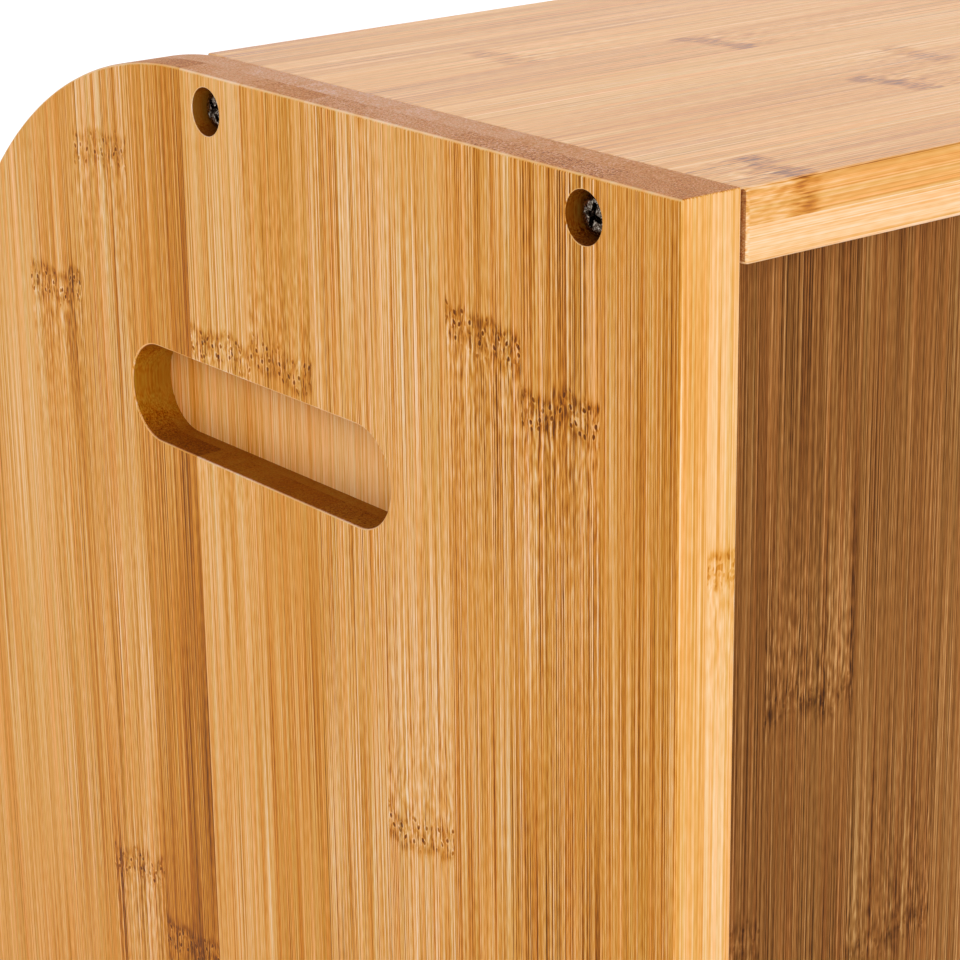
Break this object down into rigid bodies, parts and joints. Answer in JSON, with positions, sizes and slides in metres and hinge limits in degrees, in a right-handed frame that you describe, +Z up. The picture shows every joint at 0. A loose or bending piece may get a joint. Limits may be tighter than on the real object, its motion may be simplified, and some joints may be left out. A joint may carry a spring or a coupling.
{
  "type": "bread box with roll top",
  "caption": "Bamboo bread box with rounded front corners, a slatted roll top in side grooves, a turned knob, finger pockets in the sides and a recessed dark back panel.",
  "frame": {"origin": "on the ground, under the middle of the box that holds the whole closed bread box, knob included", "axes": "+Z up, +X towards the right-hand side panel as seen from the front, -Y towards the knob"},
  "size_m": [0.4, 0.2446, 0.228],
  "materials": {
    "bamboo_board": "satin lacquered horizontal-laminated bamboo",
    "bamboo_dark": "satin carbonised bamboo",
    "bamboo_slat": "satin lacquered bamboo",
    "bamboo_knob": "satin turned bamboo",
    "screw_steel": "dark bronzed steel",
    "canvas": "plain-woven cotton canvas",
    "foot_rubber": "matt black rubber"
  },
  "bodies": {
    "case": {"side_panel_right": "bamboo_board", "side_panel_left": "bamboo_board", "top_board": "bamboo_board", "base_board": "bamboo_board", "front_board": "bamboo_board", "back_panel": "bamboo_dark", "top_screw_right_1": "screw_steel", "top_screw_right_2": "screw_steel", "base_screw_right_1": "screw_steel", "base_screw_right_2": "screw_steel", "base_screw_right_3": "screw_steel", "top_screw_left_1": "screw_steel", "top_screw_left_2": "screw_steel", "base_screw_left_1": "screw_steel", "base_screw_left_2": "screw_steel", "base_screw_left_3": "screw_steel", "foot_rear_right": "foot_rubber", "foot_rear_left": "foot_rubber", "foot_front_right": "foot_rubber", "foot_front_left": "foot_rubber"},
    "roll_top": {"lead_slat": "bamboo_slat", "slat_01": "bamboo_slat", "slat_02": "bamboo_slat", "slat_03": "bamboo_slat", "slat_04": "bamboo_slat", "slat_05": "bamboo_slat", "slat_06": "bamboo_slat", "slat_07": "bamboo_slat", "slat_08": "bamboo_slat", "slat_09": "bamboo_slat", "slat_10": "bamboo_slat", "slat_11": "bamboo_slat", "slat_12": "bamboo_slat", "slat_13": "bamboo_slat", "slat_canvas": "canvas", "knob": "bamboo_knob", "knob_screw": "screw_steel"}
  },
  "joints": [
    {"name": "roll_top_turn", "type": "hinge", "parent": "case", "child": "roll_top", "pos_m": [0, -0.00169, 0.116], "axis": [-1, 0, 0], "range_deg": [0, 77]}
  ]
}
